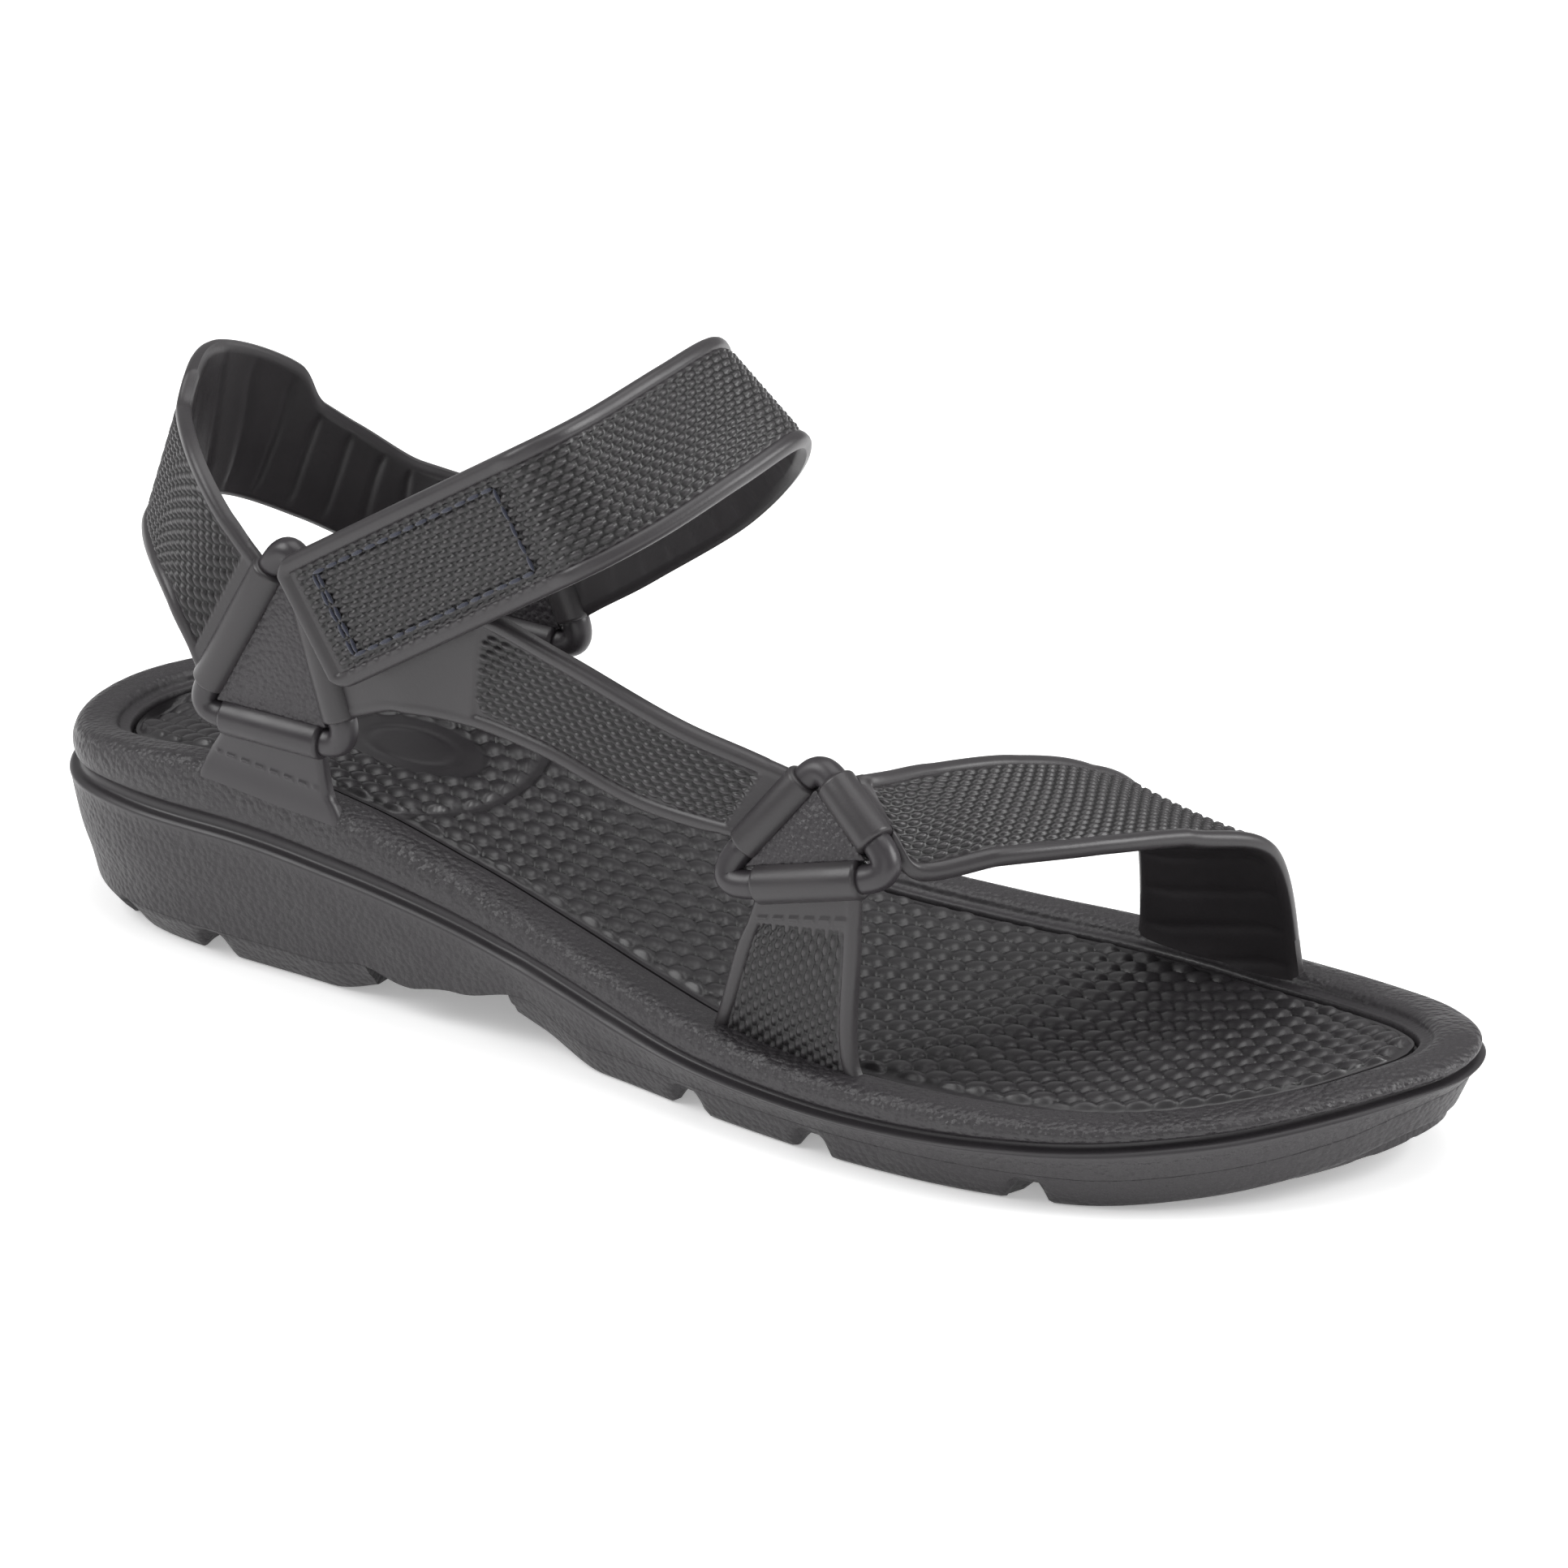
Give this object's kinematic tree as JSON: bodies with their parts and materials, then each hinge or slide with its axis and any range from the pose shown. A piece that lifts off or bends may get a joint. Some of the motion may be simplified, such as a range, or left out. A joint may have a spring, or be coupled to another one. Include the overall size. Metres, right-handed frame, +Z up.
{
  "type": "strappy sport sandal",
  "caption": "Right-foot sport sandal: moulded foam sole, triangular link plates, toe, side, heel and ankle straps, with a hook-and-loop closure over the instep.",
  "frame": {"origin": "on the ground under the middle of the sandal's bounding box", "axes": "+X from heel to toe, +Y towards the inner side of the foot, +Z up"},
  "size_m": [0.2894, 0.0974, 0.1299],
  "materials": {
    "foam": "moulded foam with a leather-like grain",
    "footbed": "moulded foam with overlapping scales",
    "tread": "moulded rubber",
    "strap": "moulded strap with a fine woven pattern",
    "link": "moulded, grained",
    "hook": "hook side of a hook-and-loop closure",
    "loop": "loop side of a hook-and-loop closure",
    "thread": "sewing thread"
  },
  "bodies": {
    "sandal": {"midsole": "foam", "footbed": "footbed", "heel_tread": "tread", "forefoot_tread": "tread", "rear_outer_tab": "strap", "rear_inner_tab": "strap", "front_tab": "strap", "heel_strap_outer_end": "strap", "heel_strap_inner_end": "strap", "connector_strap": "strap", "toe_strap": "strap", "rear_outer_link": "link", "rear_inner_link": "link", "front_link": "link", "rear_outer_plate": "link", "rear_inner_plate": "link", "front_plate": "link", "loop_pad": "loop"},
    "heel_strap": {"heel_strap": "strap"},
    "ankle_strap": {"ankle_strap": "strap"},
    "strap_tail": {"strap_tail": "strap", "hook_pad": "hook", "hook_pad_stitching": "thread"}
  },
  "joints": [
    {"name": "strap_lift", "type": "hinge", "parent": "ankle_strap", "child": "strap_tail", "pos_m": [-0.00038, 0.00616, 0.1215], "axis": [-0.7825, -0.0016, 0.6227], "range_deg": [0, 110]},
    {"name": "ankle_swing", "type": "hinge", "parent": "sandal", "child": "ankle_strap", "pos_m": [-0.06527, 0.03673, 0.06449], "axis": [-0.3714, 0, 0.9285], "range_deg": [0, 55]},
    {"name": "heel_fold", "type": "hinge", "parent": "sandal", "child": "heel_strap", "pos_m": [-0.10068, 0.00073, 0.077], "axis": [0, -0.9864, 0.1644], "range_deg": [0, 30], "stiffness_Nm_per_rad": 0.02, "springref_deg": -8.59}
  ],
  "couplings": [
    {"joint": "ankle_swing", "follows": "strap_lift", "ratio": 0.5}
  ]
}
